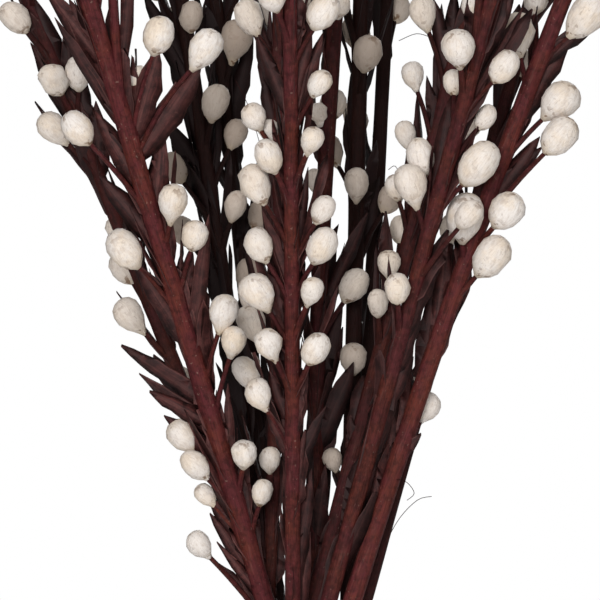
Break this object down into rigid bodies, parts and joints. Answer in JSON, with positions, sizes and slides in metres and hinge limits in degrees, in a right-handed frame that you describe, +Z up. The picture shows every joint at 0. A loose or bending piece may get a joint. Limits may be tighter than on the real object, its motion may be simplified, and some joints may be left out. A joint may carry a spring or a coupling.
{
  "type": "vase of dried moti sticks",
  "caption": "Plain round-bellied vase holding a fanned bunch of tall dried dyed stems, each set with narrow leaves and pale papery pods",
  "frame": {"origin": "middle of the vase's flat foot, on the surface that it stands on", "axes": "+Z up along the vase's axis, -Y towards the front of the fan of sticks, +X to its right"},
  "size_m": [0.3152, 0.2633, 0.624],
  "materials": {
    "clay": "matt, unmarked",
    "bark": "dry dyed bark and leaves, red-brown to near black",
    "pod": "bleached papery seed pods with fine wrinkles"
  },
  "bodies": {
    "root": {"vase": "clay", "left_front_stick": "bark", "left_stick": "bark", "front_stick": "bark", "right_front_stick": "bark", "right_stick": "bark", "right_back_stick": "bark", "back_stick": "bark", "back_inner_stick": "bark", "back_left_stick": "bark", "left_inner_stick": "bark", "middle_stick": "bark", "centre_left_stick": "bark", "far_right_stick": "bark"}
  },
  "joints": []
}
